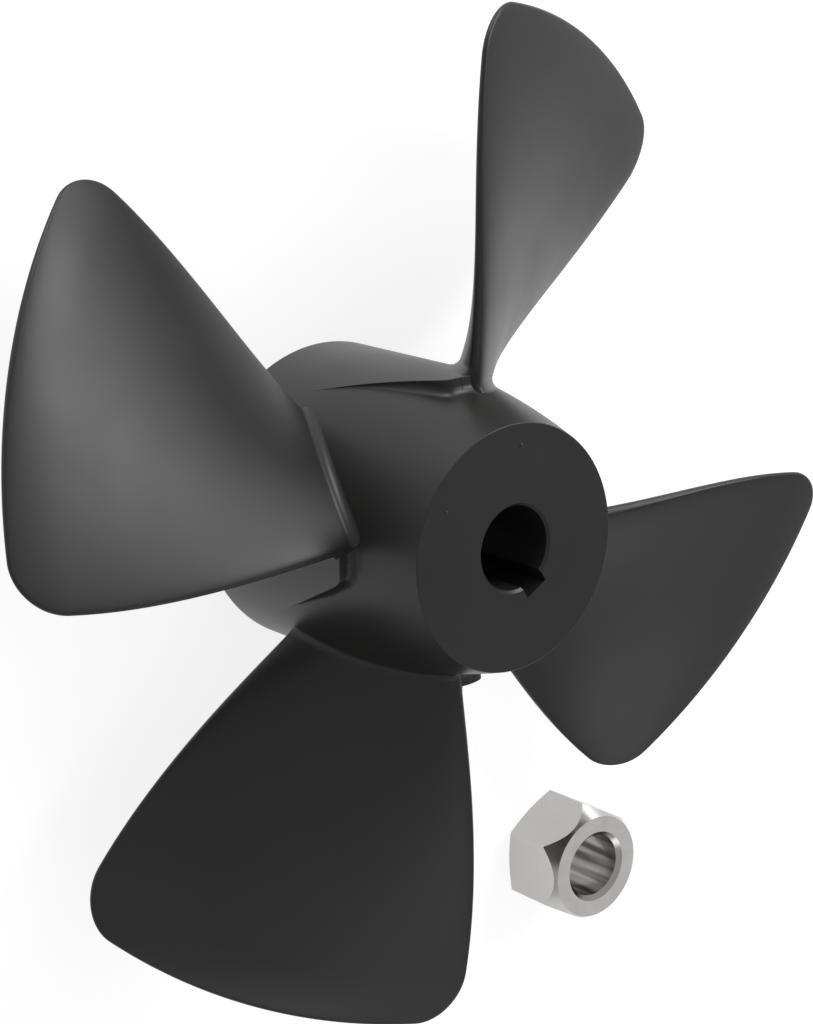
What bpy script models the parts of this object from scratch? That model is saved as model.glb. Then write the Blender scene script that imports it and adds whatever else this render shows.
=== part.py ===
# Four-bladed right-hand ship propeller, moulded in glass-filled nylon, with its loose shaft nut.
# The propeller rests on its flat forward face, so its shaft axis is +Z and the aft face looks up.
# Metres, +Z up; the origin is on the shaft axis, in the plane that the forward face rests on.

from math import cos, hypot, pi, radians, sin, sqrt, tan

import bmesh
import bpy
import numpy as np
from mathutils import Matrix

# Driving dimensions of the propeller
TIP_RADIUS = 0.1525
PITCH = 0.345
BLADES = 4
FIRST_BLADE_ANGLE = radians(76.6)

HUB_LENGTH = 0.089
HUB_FORWARD_RADIUS = 0.04685
HUB_AFT_RADIUS = 0.0365
HUB_TAPER_START = 0.025
HUB_TAPER_POWER = 1.9
HUB_STEPS = 144

BORE_RADIUS = 0.0125
BORE_CHAMFER = 0.0008
KEYWAY_WIDTH = 0.008
KEYWAY_REACH = 0.0158
KEYWAY_ANGLE = radians(42.6)

BLADE_MIDDLE_Z = 0.048
BLADE_HALF_ANGLE = radians(24.72)
BLADE_WIDEST_RADIUS = 0.103
BLADE_NARROWING = radians(1.95) / 0.050 ** 2
TIP_CORNER_HEIGHT = 0.0154
TIP_CORNER_WIDTH = 0.0136
BLADE_ROOT_THICKNESS = 0.0110
BLADE_TIP_THICKNESS = 0.0042
BLADE_EDGE_THICKNESS = 0.0012
BLADE_THINNING_POWER = 0.8
ROOT_FILLET = 0.0026
ROOT_DEPTH = 0.003
MOULD_GAP = 0.0003

# Near the hub a blade rises less for each radian than its pitch says
ROOT_RISE_LOSS = 0.0034
ROOT_RISE_SPAN = 0.046

# The mould's parting ledge between two blades: level from a trailing edge, then down a slope to where the
# taper starts. Its heights are counted from the blades' middle, and its angles from a blade's middle.
LEDGE_LEVEL_Z = 0.0194
LEDGE_END_Z = HUB_TAPER_START - BLADE_MIDDLE_Z
LEDGE_ENTERS_BLADE = radians(-24)
LEDGE_LEAVES_BLADE = radians(22)
LEDGE_TURNS_DOWN = radians(33.6)
LEDGE_ENDS = radians(59.3)
LEDGE_CORNER_EASE = 0.0013
LEDGE_FILLET = 0.0024
LEDGE_WALL_LEAN = 0.0002

# Driving dimensions of the nut, a hexagon nut for a 24 mm thread. Its turn is that of a corner away from +Y.
NUT_ACROSS_FLATS = 0.037
NUT_HEIGHT = 0.0242
NUT_FACE_RADIUS = 0.0179
NUT_UPPER_CONE = radians(62)
NUT_LOWER_CONE = radians(20)
NUT_BORE_RADIUS = 0.0108
NUT_MOUTH_RADIUS = 0.0124
NUT_STEPS = 48
NUT_PLACE = (0.1221, 0.1229)
NUT_TURN = radians(-16.6)

NYLON = (0.045, 0.045, 0.044, 1.0)
NYLON_ROUGHNESS = 0.45
STEEL = (0.62, 0.61, 0.60, 1.0)
STEEL_ROUGHNESS = 0.3

RISE = PITCH / (2 * pi)
SECTOR = 2 * pi / BLADES
CUT_MARGIN = 0.002
MERGE_DISTANCE = 1e-6
HARD_EDGE = radians(25)


def clear_scene():
    for obj in list(bpy.data.objects):
        bpy.data.objects.remove(obj, do_unlink=True)


def new_collection(name):
    collection = bpy.data.collections.new(name)
    bpy.context.scene.collection.children.link(collection)
    return collection


def new_material(name, color, roughness, metallic):
    material = bpy.data.materials.new(name)
    material.use_nodes = True
    shader = material.node_tree.nodes["Principled BSDF"]
    shader.inputs["Base Color"].default_value = color
    shader.inputs["Roughness"].default_value = roughness
    shader.inputs["Metallic"].default_value = metallic
    return material


def new_object(name, mesh, collection, material=None):
    obj = bpy.data.objects.new(name, mesh)
    collection.objects.link(obj)
    if material:
        mesh.materials.append(material)
    return obj


def make_cutter(obj):
    obj.hide_render = True
    obj.display_type = "WIRE"
    return obj


def turned_mesh(name, profile, steps, closed):
    """A profile of (radius, z) points, turned once about Z by a Screw modifier."""
    mesh = bpy.data.meshes.new(name)
    count = len(profile)
    edges = [(i, (i + 1) % count) for i in range(count if closed else count - 1)]
    mesh.from_pydata([(r, 0, z) for r, z in profile], edges, [])
    blank = bpy.data.objects.new(name, mesh)
    bpy.context.scene.collection.objects.link(blank)
    screw = blank.modifiers.new("turn", "SCREW")
    screw.angle = 2 * pi
    screw.steps = steps
    screw.render_steps = steps
    screw.use_merge_vertices = True
    screw.merge_threshold = MERGE_DISTANCE
    bpy.context.view_layer.update()
    turned = bpy.data.meshes.new_from_object(blank.evaluated_get(bpy.context.evaluated_depsgraph_get()))
    bpy.data.objects.remove(blank, do_unlink=True)
    turned.name = name
    face_outwards(turned)
    return turned


def face_outwards(mesh):
    bm = bmesh.new()
    bm.from_mesh(mesh)
    bmesh.ops.remove_doubles(bm, verts=bm.verts, dist=MERGE_DISTANCE)
    bmesh.ops.recalc_face_normals(bm, faces=bm.faces)
    bm.to_mesh(mesh)
    bm.free()


def cut(obj, cutter, operation="DIFFERENCE"):
    """Applies a Boolean modifier, so that the object keeps a plain mesh."""
    modifier = obj.modifiers.new("cut", "BOOLEAN")
    modifier.operation = operation
    modifier.solver = "EXACT"
    modifier.object = cutter
    bpy.context.view_layer.update()
    result = bpy.data.meshes.new_from_object(obj.evaluated_get(bpy.context.evaluated_depsgraph_get()))
    obj.modifiers.remove(modifier)
    result.name = obj.name
    obj.data = result


def smooth(mesh, angle):
    mesh.shade_smooth()
    mesh.set_sharp_from_angle(angle=angle)


# The hub: a cylinder ahead of the parting ledge, and a long arc that tapers aft of it


def aft_radius(z):
    """Radius of the tapering surface, which leaves the cylinder at HUB_TAPER_START."""
    along = max(0.0, z - HUB_TAPER_START) / (HUB_LENGTH - HUB_TAPER_START)
    return HUB_FORWARD_RADIUS - (HUB_FORWARD_RADIUS - HUB_AFT_RADIUS) * along ** HUB_TAPER_POWER


def ledge_height(angle):
    """Height of the ledge's top edge at an angle from the first blade's middle."""
    turn = (angle - LEDGE_ENTERS_BLADE) % SECTOR + LEDGE_ENTERS_BLADE
    drop = LEDGE_LEVEL_Z - LEDGE_END_Z
    if turn < LEDGE_LEAVES_BLADE:
        share = (turn - LEDGE_ENTERS_BLADE) / (LEDGE_LEAVES_BLADE - LEDGE_ENTERS_BLADE)
        return BLADE_MIDDLE_Z + LEDGE_END_Z + drop * share
    below_level = drop * (turn - LEDGE_TURNS_DOWN) / (LEDGE_ENDS - LEDGE_TURNS_DOWN)
    eased = below_level / 2 + hypot(below_level / 2, LEDGE_CORNER_EASE)
    return BLADE_MIDDLE_Z + LEDGE_LEVEL_Z - min(drop, eased)


SLOPE_REACH = radians(0.5)


def ledge_section(angle):
    """(radius, angle to turn by, z) at the ledge's top edge, at the foot of its wall and at its fillet's end."""
    top = ledge_height(angle)
    change = ledge_height(angle + SLOPE_REACH) - ledge_height(angle - SLOPE_REACH)
    climb = change / (2 * SLOPE_REACH * HUB_FORWARD_RADIUS)
    sideways, upwards = -climb / hypot(1, climb), 1 / hypot(1, climb)
    fillet = min(LEDGE_FILLET, HUB_FORWARD_RADIUS - aft_radius(top))
    points = [(HUB_FORWARD_RADIUS, 0.0, top)]
    for out, above in ((LEDGE_WALL_LEAN, fillet / 2), (LEDGE_WALL_LEAN + fillet, 0.0)):
        z = top + out * upwards
        points.append((aft_radius(z) + above, out * sideways / HUB_FORWARD_RADIUS, z))
    return points


TAPER_ROWS = (0.15, 0.32, 0.49, 0.66, 0.83, 1.0)


def hub_section(angle, bore, grow=0.0):
    """(radius, angle to turn by, z) for the hub's section, from the bore's forward end round to its aft end."""
    ledge = [(r + grow, turn, z + grow) for r, turn, z in ledge_section(angle - FIRST_BLADE_ANGLE)]
    _, foot_turn, foot_z = ledge[-1]
    inside = [(bore, 0.0, BORE_CHAMFER), (bore + BORE_CHAMFER, 0.0, 0.0)]
    cylinder = [(HUB_FORWARD_RADIUS + grow, 0.0, 0.0)]
    taper = []
    for share in TAPER_ROWS:
        z = foot_z + (HUB_LENGTH - foot_z) * share
        taper.append((aft_radius(z) + grow, foot_turn * (1 - share), z))
    back = [(bore + BORE_CHAMFER, 0.0, HUB_LENGTH), (bore, 0.0, HUB_LENGTH - BORE_CHAMFER)]
    return inside + cylinder + ledge + taper + back


BLANK_RADIUS = 1.0
BLANK_THICKNESS = 0.5


def hub_mesh(name, bore, grow=0.0):
    """The hub as a turned ring blank, whose rings are then bent to follow the parting ledge."""
    rings = len(hub_section(0.0, bore))
    turns = [2 * pi * i / rings for i in range(rings)]
    blank = [(BLANK_RADIUS + BLANK_THICKNESS * cos(a), BLANK_THICKNESS * sin(a)) for a in turns]
    mesh = turned_mesh(name, blank, HUB_STEPS, closed=True)
    for vertex in mesh.vertices:
        radius = hypot(vertex.co.x, vertex.co.y)
        angle = np.arctan2(vertex.co.y, vertex.co.x)
        ring = round(np.arctan2(vertex.co.z, radius - BLANK_RADIUS) / (2 * pi) * rings) % rings
        r, turn, z = hub_section(angle, bore, grow)[ring]
        vertex.co = (r * cos(angle + turn), r * sin(angle + turn), z)
    face_outwards(mesh)
    return mesh


def make_hub(parts, cutters, material):
    hub = new_object("hub", hub_mesh("hub", BORE_RADIUS), parts, material)
    bm = bmesh.new()
    bmesh.ops.create_cube(bm, size=1)
    size = Matrix.Diagonal((KEYWAY_REACH, KEYWAY_WIDTH, 2 * HUB_LENGTH, 1))
    place = Matrix.Rotation(KEYWAY_ANGLE, 4, "Z") @ Matrix.Translation((KEYWAY_REACH / 2, 0, HUB_LENGTH / 2))
    bm.transform(place @ size)
    mesh = bpy.data.meshes.new("keyway_cutter")
    bm.to_mesh(mesh)
    bm.free()
    keyway = make_cutter(new_object("keyway_cutter", mesh, cutters))
    cut(hub, keyway)
    smooth(hub.data, HARD_EDGE)
    return hub


# The blades: an elliptical section that is wrapped on cylinders about the shaft and follows a helicoid

CHORD_COLUMNS = 14
FILLET_ROWS = 4
SPAN_ROWS = 8
CORNER_ROWS = 6


def blade_rows():
    """(height above the hub, spread of the fillet, share of the way on to the tip) for each row of points."""
    turns = np.linspace(0, pi / 2, FILLET_ROWS + 1)
    fillet = [(ROOT_FILLET * (1 - cos(a)), ROOT_FILLET * (1 - sin(a)), 0.0) for a in turns]
    sunk = (-ROOT_DEPTH, ROOT_FILLET, 0.0)
    corner = TIP_CORNER_HEIGHT / (TIP_RADIUS - HUB_FORWARD_RADIUS - ROOT_FILLET)
    span = np.linspace(0, 1 - corner, SPAN_ROWS + 1)[1:]
    round_end = [1 - corner + corner * sin(a) for a in np.linspace(0, pi / 2, CORNER_ROWS + 1)[1:]]
    return [sunk] + fillet + [(ROOT_FILLET, 0.0, share) for share in (*span, *round_end)]


def rise(radius):
    """Rise per radian: that of the pitch, less what is lost near the hub."""
    inward = 1 - max(0.0, radius - HUB_FORWARD_RADIUS) / ROOT_RISE_SPAN
    return RISE - ROOT_RISE_LOSS * max(0.0, inward) ** 2


def tip_ellipse(radius):
    """1 up to where the tip's corners begin, then down to 0 at the tip on an ellipse."""
    past = max(0.0, radius - (TIP_RADIUS - TIP_CORNER_HEIGHT)) / TIP_CORNER_HEIGHT
    return sqrt(max(0.0, 1 - past ** 2))


def half_angle(radius):
    """Half of the blade's angular width, with the elliptical corners of its tip."""
    width = BLADE_HALF_ANGLE - BLADE_NARROWING * (radius - BLADE_WIDEST_RADIUS) ** 2
    taken = TIP_CORNER_WIDTH * (1 - tip_ellipse(radius))
    return width - taken / hypot(radius, rise(radius))


def half_thickness(radius, across):
    """Half thickness of the elliptical section at a share of the half chord; the tip is rounded off too."""
    out = max(0.0, radius - HUB_FORWARD_RADIUS) / (TIP_RADIUS - HUB_FORWARD_RADIUS)
    thinned = (BLADE_TIP_THICKNESS - BLADE_ROOT_THICKNESS) * min(1.0, out) ** BLADE_THINNING_POWER
    middle = BLADE_ROOT_THICKNESS + thinned
    crown = sqrt(max(0.0, 1 - across ** 2)) * tip_ellipse(radius)
    return (BLADE_EDGE_THICKNESS + (middle - BLADE_EDGE_THICKNESS) * crown) / 2


def skin_place(radius, across, side, spread):
    """Angle and height of a point on the skin, stepped off the helicoid along the cylinder it lies on."""
    turn = half_angle(radius) * across
    slant = hypot(radius, rise(radius))
    off = side * (half_thickness(radius, across) + spread)
    angle = turn - off * rise(radius) / (slant * radius)
    return angle, BLADE_MIDDLE_Z + rise(radius) * turn + off * radius / slant


def blade_point(row, across, side):
    """A point of the blade's skin; side is +1 on the aft face, -1 on the forward one and 0 between them."""
    height, spread, share = row
    radius = HUB_FORWARD_RADIUS
    for _ in range(3):
        angle, z = skin_place(radius, across, side, spread)
        start = height + (HUB_FORWARD_RADIUS if side < 0 else aft_radius(z))
        radius = start + (TIP_RADIUS - start) * share
    angle, z = skin_place(radius, across, side, spread)
    return radius * cos(angle), radius * sin(angle), z


def blade_mesh():
    """A closed loft of two skins, joined along the leading edge, the tip, the trailing edge and the root."""
    bm = bmesh.new()
    rows = blade_rows()
    shares = [sin(pi / 2 * c) for c in np.linspace(-1, 1, CHORD_COLUMNS + 1)]
    skins = {}
    for side in (1, -1):
        skins[side] = [[bm.verts.new(blade_point(row, s, side)) for s in shares] for row in rows]
        for low, high in zip(skins[side], skins[side][1:]):
            for i in range(CHORD_COLUMNS):
                bm.faces.new((low[i], low[i + 1], high[i + 1], high[i]))
    aft, forward = skins[1], skins[-1]
    for end in (0, -1):
        for i in range(CHORD_COLUMNS):
            bm.faces.new((aft[end][i], aft[end][i + 1], forward[end][i + 1], forward[end][i]))
    for column in (0, -1):
        middle = [bm.verts.new(blade_point(row, shares[column], 0)) for row in rows]
        for skin in (aft, forward):
            for j in range(len(rows) - 1):
                bm.faces.new((skin[j][column], skin[j + 1][column], middle[j + 1], middle[j]))
        for end in (0, -1):
            bm.faces.new((aft[end][column], middle[end], forward[end][column]))
    bmesh.ops.recalc_face_normals(bm, faces=bm.faces)
    mesh = bpy.data.meshes.new("blade")
    bm.to_mesh(mesh)
    bm.free()
    return mesh


def make_blades(parts, cutters, material):
    envelope = hub_mesh("hub_envelope", BORE_RADIUS, grow=MOULD_GAP)
    cutter = make_cutter(new_object("hub_envelope", envelope, cutters))
    first = new_object("blade_1", blade_mesh(), parts, material)
    first.rotation_euler.z = FIRST_BLADE_ANGLE
    cut(first, cutter)
    smooth(first.data, HARD_EDGE)
    for number in range(2, BLADES + 1):
        blade = bpy.data.objects.new(f"blade_{number}", first.data)
        blade.rotation_euler.z = FIRST_BLADE_ANGLE + (number - 1) * SECTOR
        parts.objects.link(blade)


# The nut: a hexagon bar end, turned to a steep cone above and a flat one below, and bored


def make_nut(parts, cutters, material):
    corner_radius = NUT_ACROSS_FLATS / sqrt(3)
    bm = bmesh.new()
    bmesh.ops.create_cone(bm, cap_ends=True, segments=6, radius1=corner_radius, radius2=corner_radius,
                          depth=NUT_HEIGHT, matrix=Matrix.Translation((0, 0, NUT_HEIGHT / 2)))
    mesh = bpy.data.meshes.new("nut")
    bm.to_mesh(mesh)
    bm.free()
    nut = new_object("nut", mesh, parts, material)

    wide = corner_radius + CUT_MARGIN
    shoulder = wide - NUT_FACE_RADIUS
    cones = [(0, NUT_HEIGHT), (NUT_FACE_RADIUS, NUT_HEIGHT), (wide, NUT_HEIGHT - shoulder * tan(NUT_UPPER_CONE)),
             (wide, shoulder * tan(NUT_LOWER_CONE)), (NUT_FACE_RADIUS, 0), (0, 0)]
    turned = turned_mesh("nut_cones", cones, NUT_STEPS, closed=False)
    cut(nut, make_cutter(new_object("nut_cones", turned, cutters)), "INTERSECT")

    depth = NUT_MOUTH_RADIUS - NUT_BORE_RADIUS
    mouth = NUT_MOUTH_RADIUS + CUT_MARGIN
    bore = [(0, NUT_HEIGHT + CUT_MARGIN), (mouth, NUT_HEIGHT + CUT_MARGIN), (NUT_BORE_RADIUS, NUT_HEIGHT - depth),
            (NUT_BORE_RADIUS, depth), (mouth, -CUT_MARGIN), (0, -CUT_MARGIN)]
    turned = turned_mesh("nut_bore", bore, NUT_STEPS, closed=False)
    cut(nut, make_cutter(new_object("nut_bore", turned, cutters)))
    smooth(nut.data, HARD_EDGE)
    nut.location = (*NUT_PLACE, 0)
    nut.rotation_euler.z = NUT_TURN


def main():
    clear_scene()
    parts = new_collection("ship_propeller")
    cutters = new_collection("cutters")
    nylon = new_material("moulded_nylon", NYLON, NYLON_ROUGHNESS, 0.0)
    steel = new_material("stainless_steel", STEEL, STEEL_ROUGHNESS, 1.0)
    make_hub(parts, cutters, nylon)
    make_blades(parts, cutters, nylon)
    make_nut(parts, cutters, steel)


main()
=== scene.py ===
# %% [markdown]
# A small boat's propeller and its shaft nut.
#
# The propeller is one moulding in black glass-filled nylon: a hub with a keyed bore, and four blades that
# are sectors of one helicoid. The nut is a turned stainless hexagon that stands beside it.
# The script takes the object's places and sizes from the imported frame, makes the two finished pieces
# around it, and lights them on a pale floor.

from math import cos, hypot, pi, radians, sin, sqrt, tan

import bmesh
import bpy
import numpy as np
from mathutils import Matrix, Vector


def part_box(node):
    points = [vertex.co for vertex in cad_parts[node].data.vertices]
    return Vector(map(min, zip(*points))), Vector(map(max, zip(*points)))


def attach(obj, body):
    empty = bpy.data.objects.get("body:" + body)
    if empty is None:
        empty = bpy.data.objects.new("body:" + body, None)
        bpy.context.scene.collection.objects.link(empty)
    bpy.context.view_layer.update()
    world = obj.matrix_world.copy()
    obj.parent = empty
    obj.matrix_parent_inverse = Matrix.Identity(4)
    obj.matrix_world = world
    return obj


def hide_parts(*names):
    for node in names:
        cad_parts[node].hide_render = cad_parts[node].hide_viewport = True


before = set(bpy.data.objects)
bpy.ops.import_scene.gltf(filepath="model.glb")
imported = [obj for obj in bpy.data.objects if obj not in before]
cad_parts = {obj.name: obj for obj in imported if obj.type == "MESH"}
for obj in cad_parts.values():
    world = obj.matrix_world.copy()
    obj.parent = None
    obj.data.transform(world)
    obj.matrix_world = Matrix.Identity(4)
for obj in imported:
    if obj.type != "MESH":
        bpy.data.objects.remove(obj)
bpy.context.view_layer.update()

MM = 0.001

# %% [markdown]
# The camera comes first, so that everything after it can be checked from the right place.
#
# The propeller stands on its forward face with the shaft axis upright, and the picture was taken with that
# axis lying towards the right of the frame. So the camera looks down at the aft face and is rolled well
# past a quarter turn. Its aim, distance and angles are real values: those at which the outlines of all
# four blades fall on the picture's own.

# %% Camera
CAMERA_AIM = Vector((-0.8, 0.1, 39.4)) * MM
CAMERA_DISTANCE = 744.3 * MM
CAMERA_AZIMUTH = radians(11.05)
CAMERA_ELEVATION = radians(48.56)
CAMERA_ROLL = radians(107.11)
CAMERA_LENS = 87.18
SENSOR_WIDTH = 36.0
NEAR_CLIP = 0.01


def make_camera():
    """The scene's camera; its roll is about its own line of sight."""
    data = bpy.data.cameras.new("camera")
    data.lens = CAMERA_LENS
    data.sensor_width = SENSOR_WIDTH
    data.clip_start = NEAR_CLIP
    camera = bpy.data.objects.new("camera", data)
    bpy.context.scene.collection.objects.link(camera)
    ahead = Vector((sin(CAMERA_AZIMUTH) * cos(CAMERA_ELEVATION),
                    cos(CAMERA_AZIMUTH) * cos(CAMERA_ELEVATION),
                    -sin(CAMERA_ELEVATION)))
    level = ahead.to_track_quat("-Z", "Y").to_matrix()
    camera.matrix_world = (Matrix.Translation(CAMERA_AIM - ahead * CAMERA_DISTANCE)
                           @ (level @ Matrix.Rotation(CAMERA_ROLL, 3, "Z")).to_4x4())
    bpy.context.scene.camera = camera
    return camera


camera = make_camera()
print("camera at, mm:", [round(1000 * v) for v in camera.matrix_world.translation])

# %% [markdown]
# Colours are kept as the sRGB hex values that a person would pick from a swatch, and one function turns
# them into the linear values that Blender's shaders want. A second small function adds a node together
# with its settings and the links that feed it, so that a tree reads from top to bottom.

# %% Colours and nodes


def linear(code):
    """An sRGB hex colour such as "#3A3A39" as linear RGBA."""
    shares = [int(code[i:i + 2], 16) / 255 for i in (1, 3, 5)]
    return (*((c / 12.92 if c <= 0.04045 else ((c + 0.055) / 1.055) ** 2.4) for c in shares), 1.0)


def add(tree, kind, inputs=None, **settings):
    """Adds a node with its settings. inputs maps its sockets to values, or to what feeds them: a socket, or
    a node, whose first output is then taken."""
    node = tree.nodes.new(kind)
    for name, value in settings.items():
        setattr(node, name, value)
    for key, value in (inputs or {}).items():
        if isinstance(value, bpy.types.Node):
            value = value.outputs[0]
        if isinstance(value, bpy.types.NodeSocket):
            tree.links.new(value, node.inputs[key])
        else:
            node.inputs[key].default_value = value
    return node


# %% [markdown]
# The hub is a turned shape with one twist. Ahead of the line where the two halves of its mould met, it is
# a plain cylinder; aft of that line it tapers along a long arc. Between two blades the line is a ledge:
# it leaves a trailing edge square to the axis, rounds a corner, and runs forward to the next leading
# edge, where both surfaces meet and the ledge fades out.
#
# A Screw modifier alone can't make it, because the profile changes as it turns. So the hub is a loft of
# rings in mesh code: every column of points is one section of the hub, and the rings bend with the ledge.

# %% Sizes of the hub, in metres
hub_low, hub_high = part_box("hub")
HUB_LENGTH = hub_high.z - hub_low.z
FORWARD_RADIUS = (hub_high.x - hub_low.x) / 2
AFT_RADIUS = 36.5 * MM
TAPER_START = 25 * MM
TAPER_POWER = 1.9
BLADES = 4
SECTOR = 2 * pi / BLADES
FIRST_BLADE = radians(76.6)
BLADE_MIDDLE_Z = 48 * MM

BORE_RADIUS = 12.5 * MM
BORE_CHAMFER = 0.8 * MM
RIM_ROUND = 0.2 * MM

LEDGE_LEVEL_Z = 19.4 * MM
LEDGE_END_Z = TAPER_START - BLADE_MIDDLE_Z
LEDGE_ENTERS_BLADE = radians(-24)
LEDGE_LEAVES_BLADE = radians(20.5)
LEDGE_TURNS_DOWN = radians(33.6)
LEDGE_ENDS = radians(59.3)
LEDGE_CORNER_EASE = 1.3 * MM
LEDGE_HIDDEN_EASE = 0.6 * MM
LEDGE_ROUND = 0.25 * MM
LEDGE_FILLET = 2.4 * MM
NO_STEP = 0.001 * MM
SLOPE_REACH = radians(0.5)
print("hub, mm: length", round(HUB_LENGTH / MM, 1), "forward radius", round(FORWARD_RADIUS / MM, 2))

# %% The ledge's line


def aft_radius(z):
    """The tapering surface: it leaves the cylinder at TAPER_START and reaches AFT_RADIUS at the aft face."""
    along = max(0.0, z - TAPER_START) / (HUB_LENGTH - TAPER_START)
    return FORWARD_RADIUS - (FORWARD_RADIUS - AFT_RADIUS) * along ** TAPER_POWER


def ledge_height(angle):
    """Height of the ledge's top edge, at an angle from a blade's middle. Under a blade it climbs unseen."""
    turn = (angle - LEDGE_ENTERS_BLADE) % SECTOR + LEDGE_ENTERS_BLADE
    drop = LEDGE_LEVEL_Z - LEDGE_END_Z
    if turn < (LEDGE_LEAVES_BLADE + LEDGE_TURNS_DOWN) / 2:
        below_level = drop * (LEDGE_LEAVES_BLADE - turn) / (LEDGE_LEAVES_BLADE - LEDGE_ENTERS_BLADE)
        ease = LEDGE_HIDDEN_EASE
    else:
        below_level = drop * (turn - LEDGE_TURNS_DOWN) / (LEDGE_ENDS - LEDGE_TURNS_DOWN)
        ease = LEDGE_CORNER_EASE
    eased = below_level / 2 + hypot(below_level / 2, ease)
    return BLADE_MIDDLE_Z + LEDGE_LEVEL_Z - min(drop, eased)


# %% [markdown]
# Across its own line the ledge has a small convex round at the top and a wide concave fillet at the foot,
# where the mould steel was radiused. Both shrink with the ledge, so it can fade to nothing without a
# crease. The profile is laid out squarely to the ledge's line, so where the line runs at a slant each of
# its points is also turned a little about the axis.

# %% The hub's section
ROUND_POINTS = 5
FILLET_POINTS = 9
TAPER_POINTS = 16


def ledge_profile(step):
    """(distance across the ledge, share of the step taken) from its top edge to its foot."""
    size = min(1.0, step / (LEDGE_ROUND + LEDGE_FILLET))
    convex, concave = LEDGE_ROUND * size, LEDGE_FILLET * size
    points = []
    for a in np.linspace(0, pi / 2, ROUND_POINTS):
        points.append((convex * (sin(a) - 1), convex * (1 - cos(a))))
    for a in np.linspace(0, pi / 2, FILLET_POINTS):
        points.append((concave * (1 - cos(a)), step - concave + concave * sin(a)))
    return [(across, drop / step) for across, drop in points]


def hub_section(angle):
    """(radius, angle, z) from the bore's forward end, along the outside, to the bore's aft end."""
    turn = angle - FIRST_BLADE
    top = ledge_height(turn)
    rise = ledge_height(turn + SLOPE_REACH) - ledge_height(turn - SLOPE_REACH)
    slope = rise / (2 * SLOPE_REACH * FORWARD_RADIUS)
    sideways, upwards = -slope / hypot(1, slope), 1 / hypot(1, slope)
    step = max(NO_STEP, FORWARD_RADIUS - aft_radius(top))
    points = [(BORE_RADIUS, angle, BORE_CHAMFER), (BORE_RADIUS + BORE_CHAMFER, angle, 0.0)]
    for a in np.linspace(0, pi / 2, ROUND_POINTS):
        points.append((FORWARD_RADIUS - RIM_ROUND * (1 - sin(a)), angle, RIM_ROUND * (1 - cos(a))))
    points.append((FORWARD_RADIUS, angle, 0.5 * top))
    for across, taken in ledge_profile(step):
        z = top + across * upwards
        radius = FORWARD_RADIUS - taken * (FORWARD_RADIUS - aft_radius(z))
        points.append((radius, angle + across * sideways / FORWARD_RADIUS, z))
    _, foot_angle, foot = points[-1]
    rim = HUB_LENGTH - RIM_ROUND
    for share in np.linspace(0, 1, TAPER_POINTS)[1:]:
        z = foot + (rim - foot) * share
        points.append((aft_radius(z), foot_angle + (angle - foot_angle) * share, z))
    for a in np.linspace(0, pi / 2, ROUND_POINTS)[1:]:
        points.append((AFT_RADIUS - RIM_ROUND * (1 - cos(a)), angle, rim + RIM_ROUND * sin(a)))
    mouth = [(BORE_RADIUS + BORE_CHAMFER, angle, HUB_LENGTH), (BORE_RADIUS, angle, HUB_LENGTH - BORE_CHAMFER)]
    return points + mouth


# %% Loft the hub
HUB_COLUMNS = 720


def lofted_ring(name, section, columns):
    """A closed ring of sections, which all have the same number of (radius, angle, z) points."""
    sections = [section(2 * pi * i / columns) for i in range(columns)]
    rings = len(sections[0])
    points = [(r * cos(a), r * sin(a), z) for s in sections for r, a, z in s]
    faces = []
    for i in range(columns):
        here, there = i * rings, (i + 1) % columns * rings
        for j in range(rings):
            k = (j + 1) % rings
            faces.append((here + j, there + j, there + k, here + k))
    mesh = bpy.data.meshes.new(name)
    mesh.from_pydata(points, [], faces)
    obj = bpy.data.objects.new(name, mesh)
    bpy.context.scene.collection.objects.link(obj)
    turn_faces_out(mesh)
    return obj


def turn_faces_out(mesh):
    bm = bmesh.new()
    bm.from_mesh(mesh)
    bmesh.ops.recalc_face_normals(bm, faces=bm.faces)
    bm.to_mesh(mesh)
    bm.free()


propeller = lofted_ring("propeller_moulding", hub_section, HUB_COLUMNS)
print("hub loft:", len(propeller.data.vertices), "points")

# %% [markdown]
# A modifier is only a recipe until its result is made the object's own mesh. The pieces are finished one
# step after another, so each step's modifier is applied at once. A closed solid has two faces at every
# edge, which is quick to count after a cut.

# %% Plain meshes and Booleans


def make_plain(obj):
    """Replaces obj's mesh by the result of its modifiers, and drops them."""
    bpy.context.view_layer.update()
    result = bpy.data.meshes.new_from_object(obj.evaluated_get(bpy.context.evaluated_depsgraph_get()))
    obj.modifiers.clear()
    result.name = obj.name
    obj.data = result


def boolean(obj, other, operation):
    """Applies one Boolean to obj and removes the other object."""
    modifier = obj.modifiers.new(operation.lower(), "BOOLEAN")
    modifier.operation = operation
    modifier.solver = "EXACT"
    modifier.object = other
    make_plain(obj)
    bpy.data.objects.remove(other, do_unlink=True)


def open_edges(mesh):
    """How many edges don't have two faces: none on a closed piece."""
    bm = bmesh.new()
    bm.from_mesh(mesh)
    count = sum(len(e.link_faces) != 2 for e in bm.edges)
    bm.free()
    return count


print("open edges of the hub loft:", open_edges(propeller.data))

# %% [markdown]
# The keyway is a slot broached from one end of the bore to the other. It is cut with plain sharp edges, so
# its cutter is a box that reaches past both faces, and one Boolean cut makes the slot.

# %% Cut the keyway
KEYWAY_WIDTH = 8 * MM
KEYWAY_REACH = 15.8 * MM
KEYWAY_ANGLE = radians(42.6)


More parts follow.
